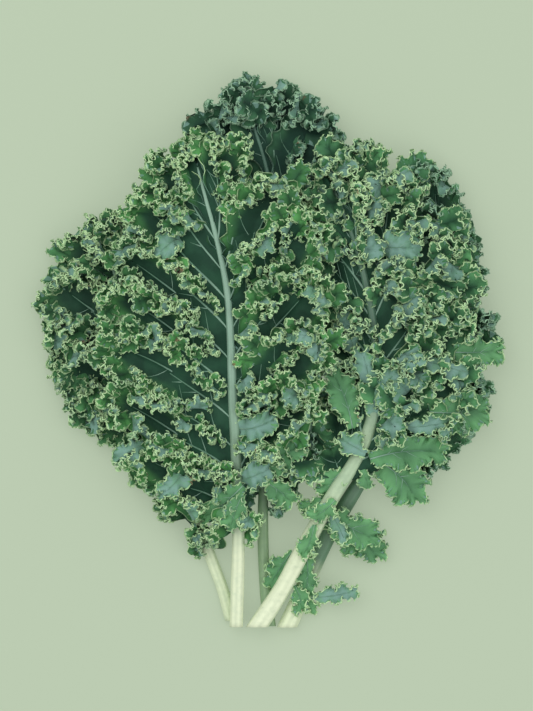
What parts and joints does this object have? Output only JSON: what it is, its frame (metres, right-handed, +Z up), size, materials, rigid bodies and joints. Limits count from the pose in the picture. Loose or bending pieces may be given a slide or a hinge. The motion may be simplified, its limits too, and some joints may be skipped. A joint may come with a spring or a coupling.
{
  "type": "kale bunch",
  "caption": "Bunch of curly kale lying on its back: cut leaves with pale stalks and broad, tightly ruffled green blades fanned out from where the stalks gather.",
  "frame": {"origin": "on the table, under the middle of the bunch's outline", "axes": "+X across the bunch, +Y from the cut stalk ends to the leaf tips, +Z up from the table"},
  "size_m": [0.3254, 0.3876, 0.0705],
  "materials": {
    "stalk": "satin, smooth and moist",
    "blade": "satin, waxy bloom"
  },
  "bodies": {
    "root": {"stalk_front_left": "stalk", "blade_front_left": "blade", "stalk_front_right": "stalk", "blade_front_right": "blade", "stalk_back_middle": "stalk", "blade_back_middle": "blade", "stalk_back_left": "stalk", "blade_back_left": "blade", "stalk_back_right": "stalk", "blade_back_right": "blade"}
  },
  "joints": []
}
